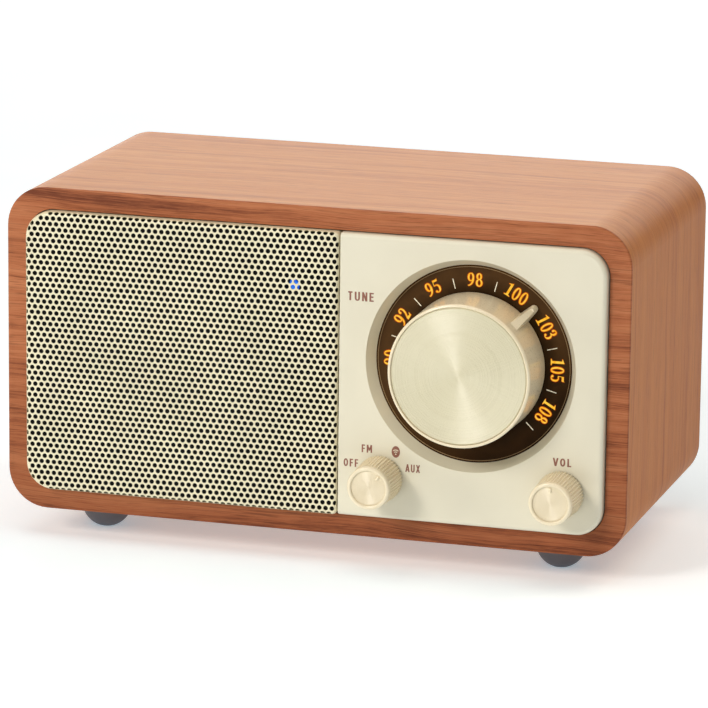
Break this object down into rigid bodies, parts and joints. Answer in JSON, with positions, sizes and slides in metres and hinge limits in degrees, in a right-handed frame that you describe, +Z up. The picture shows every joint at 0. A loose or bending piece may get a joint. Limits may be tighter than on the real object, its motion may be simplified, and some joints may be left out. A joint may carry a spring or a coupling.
{
  "type": "table radio",
  "caption": "Compact wooden-cabinet table radio with a perforated speaker grille, a lit tuning dial, a large tuning knob, a source selector and a volume knob, on rubber feet.",
  "frame": {"origin": "centre of the whole radio's bounding box, on the surface that its feet stand on", "axes": "+X to the right as seen from the front, -Y the way the front faces, +Z up"},
  "size_m": [0.15, 0.0882, 0.0843],
  "materials": {
    "core_board": "raw fibreboard",
    "veneer": "satin lacquered cherry veneer",
    "block_wood": "sawn softwood",
    "foot_rubber": "moulded, matte",
    "grille_paint": "satin cream powder coat",
    "acoustic_cloth": "woven, matte",
    "panel_plastic": "cream, fine satin",
    "knob_plastic": "cream, satin gloss",
    "knob_insert": "spun face, cream satin lacquer",
    "dial_gloss": "dark brown, polished",
    "diffuser_plastic": "milky, translucent",
    "amber_lamp": "amber lens",
    "blue_lamp": "clear blue lens",
    "red_lamp": "clear red lens",
    "black_plastic": "moulded, fine texture",
    "switch_plastic": "moulded",
    "zinc_steel": "zinc plated",
    "black_steel": "black oxide",
    "nickel": "nickel plated",
    "brass_posts": "turned",
    "circuit_board": "solder mask, satin",
    "chip_plastic": "moulded epoxy",
    "capacitor_can": "satin can",
    "cone_paper": "pressed pulp",
    "surround_foam": "moulded",
    "gasket_foam": "foam",
    "spider_cloth": "impregnated cloth",
    "coil_copper": "enamelled winding",
    "ferrite": "pressed ferrite, matte",
    "cell_case": "wrapped can",
    "lead_insulation": "extruded sleeve",
    "ribbon_plastic": "flat cable"
  },
  "bodies": {
    "cabinet": {"cabinet_core": "core_board", "wrap_veneer": "veneer", "front_veneer": "veneer", "rear_veneer": "veneer", "rear_corner_blocks": "block_wood", "foot_front_left": "foot_rubber", "foot_rear_left": "foot_rubber", "foot_front_right": "foot_rubber", "foot_rear_right": "foot_rubber", "front_baffle": "black_plastic", "grille": "grille_paint", "grille_cloth": "acoustic_cloth", "control_panel": "panel_plastic", "dial_scale": "dial_gloss", "dial_diffuser": "diffuser_plastic", "dial_lamps": "amber_lamp", "tuning_capacitor": "switch_plastic", "selector_switch": "switch_plastic", "volume_control": "switch_plastic", "bushing_nuts": "nickel", "control_board": "circuit_board", "small_screws": "black_steel", "status_lamp": "blue_lamp", "speaker_gasket": "gasket_foam", "speaker_basket": "black_steel", "speaker_surround": "surround_foam", "speaker_spider": "spider_cloth", "speaker_top_plate": "zinc_steel", "speaker_magnet": "ferrite", "speaker_yoke": "zinc_steel", "speaker_terminal": "circuit_board", "speaker_leads": "lead_insulation", "main_board": "circuit_board", "main_board_pillars": "brass_posts", "main_board_screws": "zinc_steel", "tuner_shield": "nickel", "wireless_module": "nickel", "amplifier_chip": "chip_plastic", "filter_capacitors": "capacitor_can", "board_headers": "diffuser_plastic", "ribbon_cable": "ribbon_plastic", "battery_cell": "cell_case", "battery_cradle": "black_plastic", "battery_contacts": "nickel", "rear_panel": "black_plastic", "rear_panel_screws": "black_steel", "aux_jack": "black_plastic", "usb_socket": "nickel", "charge_lamp": "red_lamp", "aerial_gland": "foot_rubber"},
    "tuning": {"tuning_knob": "knob_plastic", "tuning_knob_face": "knob_insert", "tuning_shaft": "zinc_steel"},
    "selector": {"selector_knob": "knob_plastic", "selector_shaft": "zinc_steel"},
    "volume": {"volume_knob": "knob_plastic", "volume_shaft": "zinc_steel"},
    "cone": {"speaker_cone": "cone_paper", "speaker_dust_cap": "cone_paper", "voice_coil": "coil_copper"}
  },
  "joints": [
    {"name": "tuning_turn", "type": "hinge", "parent": "cabinet", "child": "tuning", "pos_m": [0.03815, 0, 0.04995], "axis": [0, 1, 0], "range_deg": [-180, 90]},
    {"name": "selector_turn", "type": "hinge", "parent": "cabinet", "child": "selector", "pos_m": [0.0171, 0, 0.0219], "axis": [0, 1, 0], "range_deg": [-90, 45]},
    {"name": "volume_turn", "type": "hinge", "parent": "cabinet", "child": "volume", "pos_m": [0.06, 0, 0.0219], "axis": [0, 1, 0], "range_deg": [-150, 150]},
    {"name": "cone_travel", "type": "slide", "parent": "cabinet", "child": "cone", "axis": [0, 1, 0], "range_m": [-0.001, 0.001], "stiffness_N_per_m": 1000, "deforming": ["speaker_surround", "speaker_spider"]}
  ]
}
